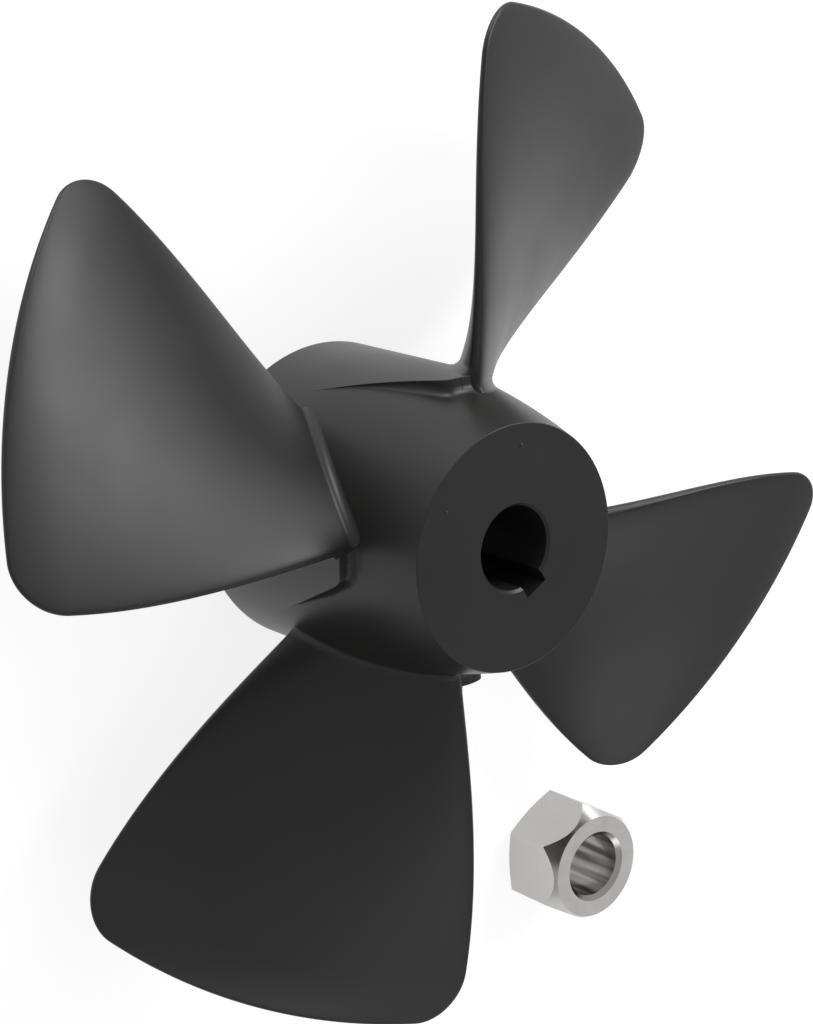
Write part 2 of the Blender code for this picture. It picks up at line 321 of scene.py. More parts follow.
def keyway_cutter():
    """A box from the shaft axis out to the bottom of the keyway."""
    bm = bmesh.new()
    bmesh.ops.create_cube(bm, size=1)
    size = Matrix.Diagonal((KEYWAY_REACH, KEYWAY_WIDTH, 2 * HUB_LENGTH, 1))
    place = Matrix.Rotation(KEYWAY_ANGLE, 4, "Z") @ Matrix.Translation((KEYWAY_REACH / 2, 0, HUB_LENGTH / 2))
    bm.transform(place @ size)
    mesh = bpy.data.meshes.new("keyway_cutter")
    bm.to_mesh(mesh)
    bm.free()
    cutter = bpy.data.objects.new("keyway_cutter", mesh)
    bpy.context.scene.collection.objects.link(cutter)
    return cutter


boolean(propeller, keyway_cutter(), "DIFFERENCE")
print("hub with its keyway:", len(propeller.data.vertices), "points")

# %% [markdown]
# Small round shapes are turned: a Screw modifier sweeps a profile once round the Z axis. The points on the
# axis then lie on top of each other, so they are merged, and the faces are turned outwards.

# %% A turned solid
SAME_POINT = 0.001 * MM


def turned_solid(name, profile, steps):
    """A solid of revolution about Z from (radius, z) points that start and end on the axis."""
    mesh = bpy.data.meshes.new(name)
    mesh.from_pydata([(r, 0, z) for r, z in profile], [(i, i + 1) for i in range(len(profile) - 1)], [])
    obj = bpy.data.objects.new(name, mesh)
    bpy.context.scene.collection.objects.link(obj)
    screw = obj.modifiers.new("turn", "SCREW")
    screw.steps = screw.render_steps = steps
    screw.use_merge_vertices = True
    screw.merge_threshold = SAME_POINT
    make_plain(obj)
    bm = bmesh.new()
    bm.from_mesh(obj.data)
    bmesh.ops.remove_doubles(bm, verts=bm.verts, dist=SAME_POINT)
    bmesh.ops.recalc_face_normals(bm, faces=bm.faces)
    bm.to_mesh(obj.data)
    bm.free()
    return obj


# %% [markdown]
# Two plain dots stand out of the aft face, where the mould steel has a dimple. Each is a low dome that
# starts a little below the face, so that the union has something to cut.

# %% Raise the dots
DOT_RADIUS = 0.7 * MM
DOT_HEIGHT = 0.35 * MM
DOT_CIRCLE = 30 * MM
DOT_ANGLES = (radians(-108.3), radians(-172.1))
DOT_STEPS = 24


def make_dot(angle):
    """One dome, in its place on the aft face."""
    profile = [(0, -DOT_HEIGHT), (DOT_RADIUS, -DOT_HEIGHT)]
    for a in np.linspace(0, pi / 2, ROUND_POINTS)[:-1]:
        profile.append((DOT_RADIUS * cos(a), DOT_HEIGHT * sin(a)))
    dot = turned_solid("dot", profile + [(0, DOT_HEIGHT)], DOT_STEPS)
    dot.data.transform(Matrix.Translation((DOT_CIRCLE * cos(angle), DOT_CIRCLE * sin(angle), HUB_LENGTH)))
    return dot


for dot_angle in DOT_ANGLES:
    boolean(propeller, make_dot(dot_angle), "UNION")
print("hub with its dots:", len(propeller.data.vertices), "points")

# %% [markdown]
# A blade follows a rule, so Geometry Nodes make it. A flat grid is warped point by point: along Y it runs
# from inside the hub to the tip, and along X it runs once round the blade's section, from the trailing
# edge over the aft face to the leading edge and back under the forward face.
#
# The rule is the one that defines a screw propeller: for each radian round the axis, the blade rises by
# the pitch over two pi, and a little less near the hub. Its sections are ellipses with round noses, wrapped
# on cylinders about the shaft. The rows of points start from the hub's own surface, aft and forward of the
# ledge, so that a fillet of one radius meets it everywhere. The same tree then repeats the blade.

# %% Sizes of a blade
BLADE_SIZES = {
    "Tip Radius": 152.5 * MM,
    "Rise per Radian": 345 * MM / (2 * pi),
    "Root Rise Loss": 3.4 * MM,
    "Root Rise Span": 46 * MM,
    "Half Angle": radians(24.72),
    "Widest Radius": 103 * MM,
    "Narrowing": radians(1.95) / (50 * MM) ** 2,
    "Corner Height": 15.4 * MM,
    "Corner Width": 13.6 * MM,
    "Root Thickness": 11.0 * MM,
    "Tip Thickness": 4.2 * MM,
    "Thinning Power": 0.8,
    "Edge Thickness": 1.2 * MM,
    "Fillet": 2.6 * MM,
    "Root Depth": 1.5 * MM,
    "Middle Height": BLADE_MIDDLE_Z,
    "Hub Radius": FORWARD_RADIUS,
    "Hub Length": HUB_LENGTH,
    "Taper Start": TAPER_START,
    "Taper Drop": FORWARD_RADIUS - AFT_RADIUS,
    "Taper Power": TAPER_POWER,
    "First Blade": FIRST_BLADE,
}
AROUND = 121
ALONG = 121
FIRST_FILLET_ROW = 2
FILLET_ROWS = 10
FILLET_STARTS = radians(5)
CLOSED_ROW_DEPTH = 4.0
ON_EDGE = 1e-4
HEIGHT_TURNS = 3

# %% [markdown]
# The tree's inputs carry those sizes under their own names. It starts from the flat grid, one unit wide and
# long about the origin, and reads where each of its points lies.

# %% The blade tree's inputs and its grid
blade_tree = bpy.data.node_groups.new("helicoid_blades", "GeometryNodeTree")
blade_tree.interface.new_socket("Geometry", in_out="INPUT", socket_type="NodeSocketGeometry")
for name in BLADE_SIZES:
    blade_tree.interface.new_socket(name, in_out="INPUT", socket_type="NodeSocketFloat")
blade_tree.interface.new_socket("Blades", in_out="INPUT", socket_type="NodeSocketInt")
blade_tree.interface.new_socket("Material", in_out="INPUT", socket_type="NodeSocketMaterial")
blade_tree.interface.new_socket("Geometry", in_out="OUTPUT", socket_type="NodeSocketGeometry")
given = add(blade_tree, "NodeGroupInput").outputs
grid = add(blade_tree, "GeometryNodeMeshGrid",
           {"Size X": 1.0, "Size Y": 1.0, "Vertices X": AROUND, "Vertices Y": ALONG})
place = add(blade_tree, "ShaderNodeSeparateXYZ", {0: add(blade_tree, "GeometryNodeInputPosition")})
print("blade tree:", len(BLADE_SIZES), "sizes, a grid of", AROUND, "by", ALONG, "points")

# %% [markdown]
# X becomes the way round the section. The cosine of that turn runs from 1 at the trailing edge to -1 at the
# leading edge and back, and the sine tells the aft face from the forward one and gives the ellipse its
# crown. Points on either edge belong to neither face.

# %% Round the section
from_start = add(blade_tree, "ShaderNodeMath", {0: place.outputs["X"], 1: 0.5}, operation="ADD")
around = add(blade_tree, "ShaderNodeMath", {0: from_start, 1: 2 * pi}, operation="MULTIPLY")
across = add(blade_tree, "ShaderNodeMath", {0: around}, operation="COSINE")
sine = add(blade_tree, "ShaderNodeMath", {0: around}, operation="SINE")
crown = add(blade_tree, "ShaderNodeMath", {0: sine}, operation="ABSOLUTE")
is_forward = add(blade_tree, "ShaderNodeMath", {0: sine, 1: -ON_EDGE}, operation="LESS_THAN")
is_aft = add(blade_tree, "ShaderNodeMath", {0: sine, 1: ON_EDGE}, operation="GREATER_THAN")
side = add(blade_tree, "ShaderNodeMath", {0: is_aft, 1: is_forward}, operation="SUBTRACT")
print("nodes in the blade tree:", len(blade_tree.nodes))

# %% [markdown]
# Y becomes the row, counted from the root. The first row is closed to a point deep in the hub, and the next
# is sunk in it, so that the union has something to cut. Then come the rows of the fillet, a quarter round
# that starts a few degrees up from the hub, and the rest run out to the tip, closer together there.

# %% Along the span
from_root = add(blade_tree, "ShaderNodeMath", {0: place.outputs["Y"], 1: 0.5}, operation="ADD")
row = add(blade_tree, "ShaderNodeMath", {0: from_root, 1: ALONG - 1}, operation="MULTIPLY")
opened = add(blade_tree, "ShaderNodeMath", {0: row, 1: 1.0}, operation="MULTIPLY", use_clamp=True)
fillet_row = add(blade_tree, "ShaderNodeMath", {0: row, 1: FIRST_FILLET_ROW}, operation="SUBTRACT")
into_fillet = add(blade_tree, "ShaderNodeMath", {0: fillet_row, 1: FILLET_ROWS},
                  operation="DIVIDE", use_clamp=True)
turned_up = add(blade_tree, "ShaderNodeMath", {0: into_fillet, 1: pi / 2 - FILLET_STARTS, 2: FILLET_STARTS},
                operation="MULTIPLY_ADD")
turned_cosine = add(blade_tree, "ShaderNodeMath", {0: turned_up}, operation="COSINE")
risen = add(blade_tree, "ShaderNodeMath", {0: 1.0, 1: turned_cosine}, operation="SUBTRACT")
fillet_height = add(blade_tree, "ShaderNodeMath", {0: given["Fillet"], 1: risen}, operation="MULTIPLY")
turned_sine = add(blade_tree, "ShaderNodeMath", {0: turned_up}, operation="SINE")
spread_share = add(blade_tree, "ShaderNodeMath", {0: 1.0, 1: turned_sine}, operation="SUBTRACT")
spread = add(blade_tree, "ShaderNodeMath", {0: given["Fillet"], 1: spread_share}, operation="MULTIPLY")
is_sunk = add(blade_tree, "ShaderNodeMath", {0: row, 1: FIRST_FILLET_ROW - 0.5}, operation="LESS_THAN")
root_depths = add(blade_tree, "ShaderNodeMath", {0: opened, 1: 1 - CLOSED_ROW_DEPTH, 2: CLOSED_ROW_DEPTH},
                  operation="MULTIPLY_ADD")
depth = add(blade_tree, "ShaderNodeMath", {0: given["Root Depth"], 1: root_depths}, operation="MULTIPLY")
to_sunk = add(blade_tree, "ShaderNodeMath", {0: fillet_height, 1: depth}, operation="ADD")
sinking = add(blade_tree, "ShaderNodeMath", {0: is_sunk, 1: to_sunk}, operation="MULTIPLY")
height = add(blade_tree, "ShaderNodeMath", {0: fillet_height, 1: sinking}, operation="SUBTRACT")
last_fillet_row = FIRST_FILLET_ROW + FILLET_ROWS
rows_left = ALONG - 1 - last_fillet_row
past_fillet = add(blade_tree, "ShaderNodeMath", {0: row, 1: last_fillet_row}, operation="SUBTRACT")
outward = add(blade_tree, "ShaderNodeMath", {0: past_fillet, 1: rows_left},
              operation="DIVIDE", use_clamp=True)
quarter = add(blade_tree, "ShaderNodeMath", {0: outward, 1: pi / 2}, operation="MULTIPLY")
span_share = add(blade_tree, "ShaderNodeMath", {0: quarter}, operation="SINE")
print("rows:", FIRST_FILLET_ROW, "in the hub,", FILLET_ROWS, "in the fillet,", rows_left, "out to the tip")

# %% [markdown]
# The next functions each add a group of nodes for one radius, because the tree needs them more than once.
# The first is the rise: how far the blade climbs in one radian, and how long that radian is when it is
# measured along the slanting blade.

# %% The rise


def rise_at(radius):
    """How far the radius lies off the hub, the climb in a radian, and the radian's slanting length."""
    off_hub = add(blade_tree, "ShaderNodeMath", {0: radius, 1: given["Hub Radius"]}, operation="SUBTRACT")
    span_used = add(blade_tree, "ShaderNodeMath", {0: off_hub, 1: given["Root Rise Span"]},
                    operation="DIVIDE")
    inward = add(blade_tree, "ShaderNodeMath", {0: 1.0, 1: span_used}, operation="SUBTRACT", use_clamp=True)
    inward_squared = add(blade_tree, "ShaderNodeMath", {0: inward, 1: inward}, operation="MULTIPLY")
    loss = add(blade_tree, "ShaderNodeMath", {0: given["Root Rise Loss"], 1: inward_squared},
               operation="MULTIPLY")
    climb = add(blade_tree, "ShaderNodeMath", {0: given["Rise per Radian"], 1: loss}, operation="SUBTRACT")
    level_squared = add(blade_tree, "ShaderNodeMath", {0: radius, 1: radius}, operation="MULTIPLY")
    climb_squared = add(blade_tree, "ShaderNodeMath", {0: climb, 1: climb}, operation="MULTIPLY")
    slant_squared = add(blade_tree, "ShaderNodeMath", {0: level_squared, 1: climb_squared}, operation="ADD")
    slant = add(blade_tree, "ShaderNodeMath", {0: slant_squared}, operation="SQRT")
    return off_hub, climb, slant


# %% [markdown]
# The outline is widest part way out and narrows from there with the square of the distance. An ellipse
# rounds each corner at the tip.

# %% The outline


def outline_at(radius, slant):
    """Half of the angular width before and after the corners are taken off, the nearness to the tip, and
    the ellipse that follows it."""
    off_widest = add(blade_tree, "ShaderNodeMath", {0: radius, 1: given["Widest Radius"]},
                     operation="SUBTRACT")
    off_squared = add(blade_tree, "ShaderNodeMath", {0: off_widest, 1: off_widest}, operation="MULTIPLY")
    narrowed = add(blade_tree, "ShaderNodeMath", {0: off_squared, 1: given["Narrowing"]},
                   operation="MULTIPLY")
    sector = add(blade_tree, "ShaderNodeMath", {0: given["Half Angle"], 1: narrowed}, operation="SUBTRACT")
    to_tip = add(blade_tree, "ShaderNodeMath", {0: given["Tip Radius"], 1: radius}, operation="SUBTRACT")
    tip_share = add(blade_tree, "ShaderNodeMath", {0: to_tip, 1: given["Corner Height"]},
                    operation="DIVIDE")
    near_tip = add(blade_tree, "ShaderNodeMath", {0: 1.0, 1: tip_share},
                   operation="SUBTRACT", use_clamp=True)
    near_squared = add(blade_tree, "ShaderNodeMath", {0: near_tip, 1: near_tip}, operation="MULTIPLY")
    ellipse_squared = add(blade_tree, "ShaderNodeMath", {0: 1.0, 1: near_squared},
                          operation="SUBTRACT", use_clamp=True)
    tip_ellipse = add(blade_tree, "ShaderNodeMath", {0: ellipse_squared}, operation="SQRT")
    taken_share = add(blade_tree, "ShaderNodeMath", {0: 1.0, 1: tip_ellipse}, operation="SUBTRACT")
    taken = add(blade_tree, "ShaderNodeMath", {0: taken_share, 1: given["Corner Width"]},
                operation="MULTIPLY")
    taken_angle = add(blade_tree, "ShaderNodeMath", {0: taken, 1: slant}, operation="DIVIDE")
    half_angle = add(blade_tree, "ShaderNodeMath", {0: sector, 1: taken_angle}, operation="SUBTRACT")
    return sector, half_angle, near_tip, tip_ellipse


# %% [markdown]
# The section is half an ellipse on either face. It grows thinner from root to tip, thins to the tip on an
# ellipse too, and ends in a round nose within half an edge thickness of the outline.

# %% The thickness


def middle_thickness(off_hub):
    """The thickness in the middle of the section."""
    span = add(blade_tree, "ShaderNodeMath", {0: given["Tip Radius"], 1: given["Hub Radius"]},
               operation="SUBTRACT")
    out = add(blade_tree, "ShaderNodeMath", {0: off_hub, 1: span}, operation="DIVIDE", use_clamp=True)
    thinning = add(blade_tree, "ShaderNodeMath", {0: given["Tip Thickness"], 1: given["Root Thickness"]},
                   operation="SUBTRACT")
    out_power = add(blade_tree, "ShaderNodeMath", {0: out, 1: given["Thinning Power"]}, operation="POWER")
    middle = add(blade_tree, "ShaderNodeMath", {0: out_power, 1: thinning, 2: given["Root Thickness"]},
                 operation="MULTIPLY_ADD")
    return middle


def nose_at(turn, sector, slant, near_tip):
    """1 on the face, and down a quarter round to 0 at the outline."""
    turn_size = add(blade_tree, "ShaderNodeMath", {0: turn}, operation="ABSOLUTE")
    turn_left = add(blade_tree, "ShaderNodeMath", {0: sector, 1: turn_size}, operation="SUBTRACT")
    to_side = add(blade_tree, "ShaderNodeMath", {0: turn_left, 1: slant}, operation="MULTIPLY")
    side_share = add(blade_tree, "ShaderNodeMath", {0: to_side, 1: given["Corner Width"]},
                     operation="DIVIDE")
    near_side = add(blade_tree, "ShaderNodeMath", {0: 1.0, 1: side_share},
                    operation="SUBTRACT", use_clamp=True)
    side_squared = add(blade_tree, "ShaderNodeMath", {0: near_side, 1: near_side}, operation="MULTIPLY")
    tip_squared = add(blade_tree, "ShaderNodeMath", {0: near_tip, 1: near_tip}, operation="MULTIPLY")
    near_squared = add(blade_tree, "ShaderNodeMath", {0: side_squared, 1: tip_squared}, operation="ADD")
    nearness = add(blade_tree, "ShaderNodeMath", {0: near_squared}, operation="SQRT")
    edge_share = add(blade_tree, "ShaderNodeMath", {0: 1.0, 1: nearness},
                     operation="SUBTRACT", use_clamp=True)
    to_edge = add(blade_tree, "ShaderNodeMath", {0: edge_share, 1: given["Corner Width"]},
                  operation="MULTIPLY")
    nose_radius = add(blade_tree, "ShaderNodeMath", {0: given["Edge Thickness"], 1: 0.5},
                      operation="MULTIPLY")
    nose_share = add(blade_tree, "ShaderNodeMath", {0: to_edge, 1: nose_radius}, operation="DIVIDE")
    into_nose = add(blade_tree, "ShaderNodeMath", {0: 1.0, 1: nose_share},
                    operation="SUBTRACT", use_clamp=True)
    into_squared = add(blade_tree, "ShaderNodeMath", {0: into_nose, 1: into_nose}, operation="MULTIPLY")
    nose_squared = add(blade_tree, "ShaderNodeMath", {0: 1.0, 1: into_squared},
                       operation="SUBTRACT", use_clamp=True)
    nose = add(blade_tree, "ShaderNodeMath", {0: nose_squared}, operation="SQRT")
    return nose


# %% [markdown]
# The skin puts them together. It turns a point to its place across the blade, lifts it by the rise, and
# steps off the helicoid squarely by half of the thickness, but stays on its cylinder.

# %% The skin


def skin_at(radius):
    """Angle and height of the skin's point on the cylinder of this radius."""
    off_hub, climb, slant = rise_at(radius)
    sector, half_angle, near_tip, tip_ellipse = outline_at(radius, slant)
    full_turn = add(blade_tree, "ShaderNodeMath", {0: half_angle, 1: across}, operation="MULTIPLY")
    turn = add(blade_tree, "ShaderNodeMath", {0: full_turn, 1: opened}, operation="MULTIPLY")
    middle = middle_thickness(off_hub)
    bulge = add(blade_tree, "ShaderNodeMath", {0: crown, 1: tip_ellipse}, operation="MULTIPLY")
    over_edge = add(blade_tree, "ShaderNodeMath", {0: middle, 1: given["Edge Thickness"]},
                    operation="SUBTRACT")
    thick = add(blade_tree, "ShaderNodeMath", {0: bulge, 1: over_edge, 2: given["Edge Thickness"]},
                operation="MULTIPLY_ADD")
    nose = nose_at(turn, sector, slant, near_tip)
    half_thick = add(blade_tree, "ShaderNodeMath", {0: thick, 1: 0.5}, operation="MULTIPLY")
    half = add(blade_tree, "ShaderNodeMath", {0: half_thick, 1: nose, 2: spread}, operation="MULTIPLY_ADD")
    signed = add(blade_tree, "ShaderNodeMath", {0: half, 1: side}, operation="MULTIPLY")
    off = add(blade_tree, "ShaderNodeMath", {0: signed, 1: opened}, operation="MULTIPLY")
    off_climb = add(blade_tree, "ShaderNodeMath", {0: off, 1: climb}, operation="MULTIPLY")
    slant_radius = add(blade_tree, "ShaderNodeMath", {0: slant, 1: radius}, operation="MULTIPLY")
    sideways = add(blade_tree, "ShaderNodeMath", {0: off_climb, 1: slant_radius}, operation="DIVIDE")
    off_radius = add(blade_tree, "ShaderNodeMath", {0: off, 1: radius}, operation="MULTIPLY")
    upward = add(blade_tree, "ShaderNodeMath", {0: off_radius, 1: slant}, operation="DIVIDE")
    climbed = add(blade_tree, "ShaderNodeMath", {0: turn, 1: climb, 2: upward}, operation="MULTIPLY_ADD")
    level = add(blade_tree, "ShaderNodeMath", {0: given["Middle Height"], 1: climbed}, operation="ADD")
    angle = add(blade_tree, "ShaderNodeMath", {0: turn, 1: sideways}, operation="SUBTRACT")
    return angle, level


# %% [markdown]
# The rows start from the hub's surface, whose radius depends on how high the skin's point comes to lie. So
# radius and height are found in turns: from a first height comes a better radius, and so on.

# %% Radius and height in turns


def start_radius(level):
    """Where the hub's surface lies at this height, plus the row's own height above it."""
    above_start = add(blade_tree, "ShaderNodeMath", {0: level, 1: given["Taper Start"]},
                      operation="SUBTRACT")
    taper_length = add(blade_tree, "ShaderNodeMath", {0: given["Hub Length"], 1: given["Taper Start"]},
                       operation="SUBTRACT")
    taper = add(blade_tree, "ShaderNodeMath", {0: above_start, 1: taper_length},
                operation="DIVIDE", use_clamp=True)
    taper_power = add(blade_tree, "ShaderNodeMath", {0: taper, 1: given["Taper Power"]}, operation="POWER")
    drop = add(blade_tree, "ShaderNodeMath", {0: taper_power, 1: given["Taper Drop"]}, operation="MULTIPLY")
    not_forward = add(blade_tree, "ShaderNodeMath", {0: 1.0, 1: is_forward}, operation="SUBTRACT")
    is_tapered = add(blade_tree, "ShaderNodeMath", {0: not_forward, 1: opened}, operation="MULTIPLY")
    dropped = add(blade_tree, "ShaderNodeMath", {0: drop, 1: is_tapered}, operation="MULTIPLY")
    hub_surface = add(blade_tree, "ShaderNodeMath", {0: given["Hub Radius"], 1: dropped},
                      operation="SUBTRACT")
    start = add(blade_tree, "ShaderNodeMath", {0: height, 1: hub_surface}, operation="ADD")
    return start


radius = given["Hub Radius"]
for _ in range(HEIGHT_TURNS):
    angle, level = skin_at(radius)
    start = start_radius(level)
    to_tip = add(blade_tree, "ShaderNodeMath", {0: given["Tip Radius"], 1: start}, operation="SUBTRACT")
    radius = add(blade_tree, "ShaderNodeMath", {0: to_tip, 1: span_share, 2: start},
                 operation="MULTIPLY_ADD")
angle, level = skin_at(radius)
print("nodes in the blade tree:", len(blade_tree.nodes))

# %% [markdown]
# Angle, radius and height give each point its place, and points that fall together are merged. The blade
# is then repeated: one instance for each of four points, turned by its number, made real at the end.

# %% Place the points and repeat the blade
flat_point = add(blade_tree, "ShaderNodeCombineXYZ", {0: radius, 2: level})
turned = add(blade_tree, "ShaderNodeVectorRotate", {"Vector": flat_point, "Angle": angle},
             rotation_type="Z_AXIS")
skinned = add(blade_tree, "GeometryNodeSetPosition", {"Geometry": grid, "Position": turned})
closed = add(blade_tree, "GeometryNodeMergeByDistance", {"Geometry": skinned, "Distance": 2 * SAME_POINT})
points = add(blade_tree, "GeometryNodePoints", {"Count": given["Blades"]})
number = add(blade_tree, "GeometryNodeInputIndex")
sector_turn = add(blade_tree, "ShaderNodeMath", {0: 2 * pi, 1: given["Blades"]}, operation="DIVIDE")
blade_turn = add(blade_tree, "ShaderNodeMath", {0: number, 1: sector_turn, 2: given["First Blade"]},
                 operation="MULTIPLY_ADD")
turn_vector = add(blade_tree, "ShaderNodeCombineXYZ", {2: blade_turn})
rotation = add(blade_tree, "FunctionNodeEulerToRotation", {0: turn_vector})
copies = add(blade_tree, "GeometryNodeInstanceOnPoints",
             {"Points": points, "Instance": closed, "Rotation": rotation})
real = add(blade_tree, "GeometryNodeRealizeInstances", {"Geometry": copies})
finished = add(blade_tree, "GeometryNodeSetMaterial", {"Geometry": real, "Material": given["Material"]})
add(blade_tree, "NodeGroupOutput", {0: finished})
print("nodes in the finished blade tree:", len(blade_tree.nodes))

# %% [markdown]
# The nylon is glass-filled PA, moulded black and left as it comes from the tool. It has a satin skin: a
# dark base that still takes a broad, soft highlight, with a fine texture from the tool's eroded surface
# and a slow unevenness in gloss where the melt cooled at different rates. Its index is set a little under
# nylon's 1.53, because the eroded skin gives back less sheen than a polished one.

# %% Moulded nylon
NYLON_COLOR = "#1C1C1B"
NYLON_ROUGHNESS = 0.38
NYLON_IOR = 1.44
GRAIN_SIZE = 0.6 * MM
GRAIN_DEPTH = 0.02 * MM
GRAIN_STRENGTH = 0.25
FLOW_SIZE = 40 * MM
FLOW_SHADE = 0.08
FLOW_GLOSS = 0.04
FLOW_DETAIL = 3.0
GRAIN_DETAIL = 2.0
MIDDLE_OF_NOISE = {"From Min": 0.3, "From Max": 0.7}


def moulded_nylon():
    material = bpy.data.materials.new("moulded_nylon")
    material.use_nodes = True
    tree = material.node_tree
    shader = tree.nodes["Principled BSDF"]
    where = add(tree, "ShaderNodeTexCoord").outputs["Object"]
    flow = add(tree, "ShaderNodeTexNoise",
               {"Vector": where, "Scale": 1 / FLOW_SIZE, "Detail": FLOW_DETAIL})
    grain = add(tree, "ShaderNodeTexNoise",
                {"Vector": where, "Scale": 1 / GRAIN_SIZE, "Detail": GRAIN_DETAIL})
    shade = add(tree, "ShaderNodeMapRange", {"Value": flow.outputs["Fac"], **MIDDLE_OF_NOISE,
                                             "To Min": 1 - FLOW_SHADE, "To Max": 1 + FLOW_SHADE})
    color = add(tree, "ShaderNodeVectorMath", {0: linear(NYLON_COLOR)[:3], "Scale": shade.outputs[0]},
                operation="SCALE")
    tree.links.new(color.outputs[0], shader.inputs["Base Color"])
    gloss = add(tree, "ShaderNodeMapRange", {"Value": flow.outputs["Fac"], **MIDDLE_OF_NOISE,
                                             "To Min": NYLON_ROUGHNESS - FLOW_GLOSS,
                                             "To Max": NYLON_ROUGHNESS + FLOW_GLOSS})
    tree.links.new(gloss.outputs[0], shader.inputs["Roughness"])
    bump = add(tree, "ShaderNodeBump",
               {"Height": grain.outputs["Fac"], "Strength": GRAIN_STRENGTH, "Distance": GRAIN_DEPTH})
    tree.links.new(bump.outputs[0], shader.inputs["Normal"])
    shader.inputs["IOR"].default_value = NYLON_IOR
    return material


nylon = moulded_nylon()

# %% [markdown]
# A modifier on an empty mesh carries the tree. Its inputs are set by each socket's identifier, then the
# evaluated result becomes a plain mesh, and a Boolean union joins the blades to the hub as one moulding.

# %% Make the blades and join them to the hub


def run_tree(name, tree, values):
    """Evaluates a node tree on an empty mesh and returns the result as an object with a plain mesh."""
    carrier = bpy.data.objects.new(name, bpy.data.meshes.new(name))
    bpy.context.scene.collection.objects.link(carrier)
    modifier = carrier.modifiers.new("nodes", "NODES")
    modifier.node_group = tree
    for socket in tree.interface.items_tree:
        if socket.in_out == "INPUT" and socket.name in values:
            modifier[socket.identifier] = values[socket.name]
    make_plain(carrier)
    turn_faces_out(carrier.data)
    return carrier


blades = run_tree("blades", blade_tree, {**BLADE_SIZES, "Blades": BLADES, "Material": nylon})
print("four blades:", len(blades.data.vertices), "points")
propeller.data.materials.append(nylon)
boolean(propeller, blades, "UNION")
print("moulding:", len(propeller.data.vertices), "points,", len(propeller.data.polygons), "faces")

# %% [markdown]
# Both pieces are shaded smooth up to an angle. Normals weighted by the faces' areas keep the flat faces
# flat, and leave the bending to the small rounds beside them.

# %% Finish the moulding
SHARP = radians(28)


def finish_surface(obj, material):
    obj.data.materials.clear()
    obj.data.materials.append(material)
    obj.data.shade_smooth()
    obj.data.set_sharp_from_angle(angle=SHARP)
    weighted = obj.modifiers.new("weighted", "WEIGHTED_NORMAL")
    weighted.keep_sharp = True
    make_plain(obj)


finish_surface(propeller, nylon)
print("moulding finished, open edges:", open_edges(propeller.data))

# %% [markdown]
# The nut is turned from hexagon bar. A steep cone at its upper face and a flat one below leave the arcs on
# its flats, and the bore is chamfered at both mouths. The bar is cut by two turned solids, as on the lathe.
# Its turn is that of a corner away from +Y, where Blender's cone has its first corner.

# %% Sizes of the nut
nut_low, nut_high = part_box("nut")
NUT_HEIGHT = nut_high.z - nut_low.z
NUT_PLACE = Vector(((nut_low.x + nut_high.x) / 2, (nut_low.y + nut_high.y) / 2, nut_low.z))
NUT_ACROSS_FLATS = 37 * MM
NUT_FACE_RADIUS = 17.9 * MM
NUT_UPPER_CONE = radians(62)
NUT_LOWER_CONE = radians(20)
NUT_BORE_RADIUS = 10.8 * MM
NUT_MOUTH_RADIUS = 12.4 * MM
NUT_TURN = radians(-16.6)
NUT_CORNER_ROUND = 0.35 * MM
NUT_CORNER_STEPS = 3
ROUND_PROFILE = 0.5
NUT_STEPS = 240
PAST_THE_FACE = 2 * MM
print("nut, mm: height", round(NUT_HEIGHT / MM, 1), "across flats", round(NUT_ACROSS_FLATS / MM, 1))

# %% Turn the nut


def make_nut():
    corner = NUT_ACROSS_FLATS / sqrt(3)
    bm = bmesh.new()
    bmesh.ops.create_cone(bm, cap_ends=True, segments=6, radius1=corner, radius2=corner, depth=NUT_HEIGHT,
                          matrix=Matrix.Translation((0, 0, NUT_HEIGHT / 2)))
    upright = [e for e in bm.edges if abs(e.verts[0].co.z - e.verts[1].co.z) > NUT_HEIGHT / 2]
    bmesh.ops.bevel(bm, geom=upright, offset=NUT_CORNER_ROUND, segments=NUT_CORNER_STEPS,
                    affect="EDGES", profile=ROUND_PROFILE)
    mesh = bpy.data.meshes.new("shaft_nut")
    bm.to_mesh(mesh)
    bm.free()
    nut = bpy.data.objects.new("shaft_nut", mesh)
    bpy.context.scene.collection.objects.link(nut)
    wide = corner + PAST_THE_FACE
    shoulder = wide - NUT_FACE_RADIUS
    upper = NUT_HEIGHT - shoulder * tan(NUT_UPPER_CONE)
    lower = shoulder * tan(NUT_LOWER_CONE)
    cones = [(0, NUT_HEIGHT), (NUT_FACE_RADIUS, NUT_HEIGHT), (wide, upper),
             (wide, lower), (NUT_FACE_RADIUS, 0), (0, 0)]
    boolean(nut, turned_solid("cones", cones, NUT_STEPS), "INTERSECT")
    depth = NUT_MOUTH_RADIUS - NUT_BORE_RADIUS
    mouth = NUT_MOUTH_RADIUS + PAST_THE_FACE
    above = NUT_HEIGHT + PAST_THE_FACE
    bore = [(0, above), (mouth, above), (NUT_BORE_RADIUS, NUT_HEIGHT - depth),
            (NUT_BORE_RADIUS, depth), (mouth, -PAST_THE_FACE), (0, -PAST_THE_FACE)]
    boolean(nut, turned_solid("bore", bore, NUT_STEPS), "DIFFERENCE")
    nut.data.transform(Matrix.Translation(NUT_PLACE) @ Matrix.Rotation(NUT_TURN, 4, "Z"))
    return nut


nut = make_nut()
print("nut:", len(nut.data.polygons), "faces")
